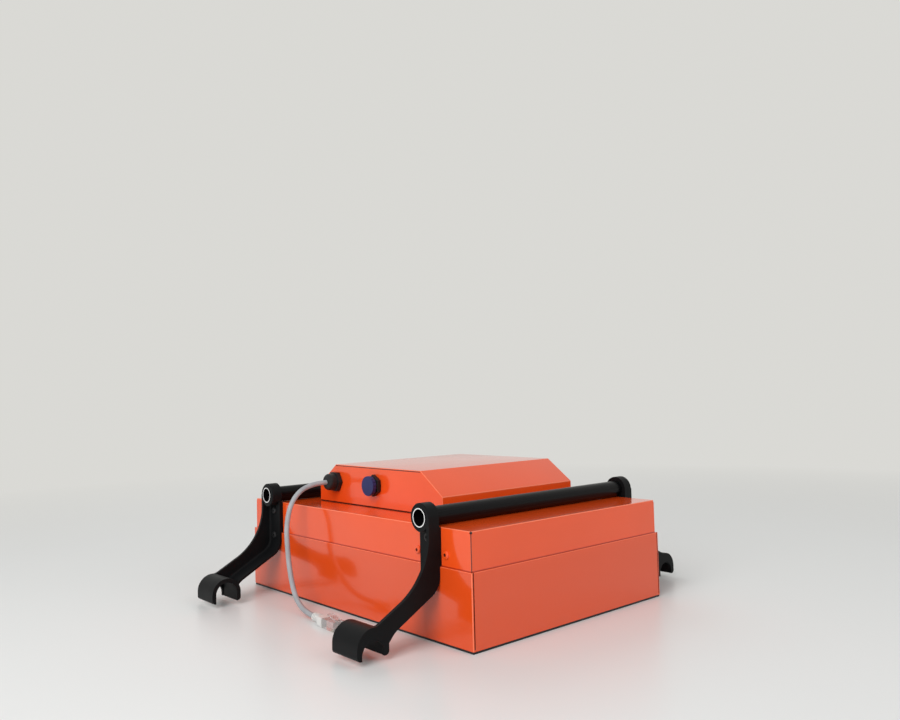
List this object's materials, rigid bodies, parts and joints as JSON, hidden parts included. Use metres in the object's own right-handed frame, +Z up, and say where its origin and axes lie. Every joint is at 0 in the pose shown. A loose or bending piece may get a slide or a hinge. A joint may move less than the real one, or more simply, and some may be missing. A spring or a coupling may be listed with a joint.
{
  "type": "ground penetrating radar",
  "caption": "Folded sheet radar case with antennas inside and a raised electronics hood, hung on cross tubes and saddle arms that sit on carrier tubes, with a capped connector and a short lead.",
  "frame": {"origin": "under the middle of the case, on the face that it rests on", "axes": "+Z up, -Y the front, -X the side with the connector and the lead"},
  "size_m": [0.421, 0.356, 0.1348],
  "materials": {
    "orange_coat": "semi-gloss powder coat",
    "black_moulding": "moulded, matte",
    "black_tube": "satin black anodised, bare at the cut ends",
    "black_plate": "radar-transparent sheet",
    "black_screw": "black oxide",
    "steel_screw": "plain",
    "seal_rubber": "matte",
    "shield_metal": "bare sheet",
    "circuit_board": "solder mask",
    "copper": "plain copper",
    "foam": "open foam",
    "heatsink_metal": "black anodised",
    "module_plastic": "potted case",
    "jack_gold": "gold plated",
    "inner_cable": "matte jacket",
    "header_plastic": "moulded",
    "connector_plastic": "moulded",
    "cap_plastic": "satin blue",
    "lead_jacket": "satin grey jacket",
    "boot_plastic": "translucent white",
    "plug_plastic": "clear moulding"
  },
  "bodies": {
    "case": {"tray_shell": "orange_coat", "top_cover": "orange_coat", "electronics_hood": "orange_coat", "cover_screws": "orange_coat", "front_left_arm": "black_moulding", "front_right_arm": "black_moulding", "rear_left_arm": "black_moulding", "rear_right_arm": "black_moulding", "front_cross_tube": "black_tube", "rear_cross_tube": "black_tube", "bottom_plate": "black_plate", "arm_screws": "black_screw", "bottom_plate_screws": "black_screw", "hood_screws": "steel_screw", "hood_nuts": "steel_screw", "press_nuts": "steel_screw", "deck_screws": "steel_screw", "board_screws": "steel_screw", "hood_gasket": "seal_rubber", "panel_seals": "seal_rubber", "nut_plates": "shield_metal", "centre_partition": "shield_metal", "shield_deck": "shield_metal", "deck_posts": "shield_metal", "board_standoffs": "shield_metal", "unit_spacers": "shield_metal", "transmitter_can": "shield_metal", "receiver_can": "shield_metal", "transmit_antenna_board": "circuit_board", "receive_antenna_board": "circuit_board", "transmitter_board": "circuit_board", "receiver_board": "circuit_board", "control_board": "circuit_board", "transmit_bowtie": "copper", "receive_bowtie": "copper", "antenna_feed_pins": "copper", "transmit_absorber": "foam", "receive_absorber": "foam", "processor_heatsink": "heatsink_metal", "power_module": "module_plastic", "coax_jacks": "jack_gold", "rj45_contacts": "jack_gold", "transmit_coax": "inner_cable", "receive_coax": "inner_cable", "socket_harness": "inner_cable", "lead_harness": "inner_cable", "harness_headers": "header_plastic", "panel_socket": "connector_plastic", "panel_nuts": "connector_plastic", "lead_gland": "connector_plastic", "gland_dome": "connector_plastic", "data_lead": "lead_jacket", "rj45_boot": "boot_plastic", "rj45_plug": "plug_plastic"},
    "cap": {"connector_cap": "cap_plastic"},
    "latch": {"rj45_latch": "plug_plastic"}
  },
  "joints": [
    {"name": "cap_turn", "type": "hinge", "parent": "case", "child": "cap", "pos_m": [-0.0965, 0, 0.1172], "axis": [1, 0, 0], "range_deg": [0, 90]},
    {"name": "latch_press", "type": "hinge", "parent": "case", "child": "latch", "pos_m": [-0.16449, -0.04484, 0.0091], "axis": [-0.9975, 0.0712, 0], "range_deg": [0, 10], "stiffness_Nm_per_rad": 0.05}
  ]
}
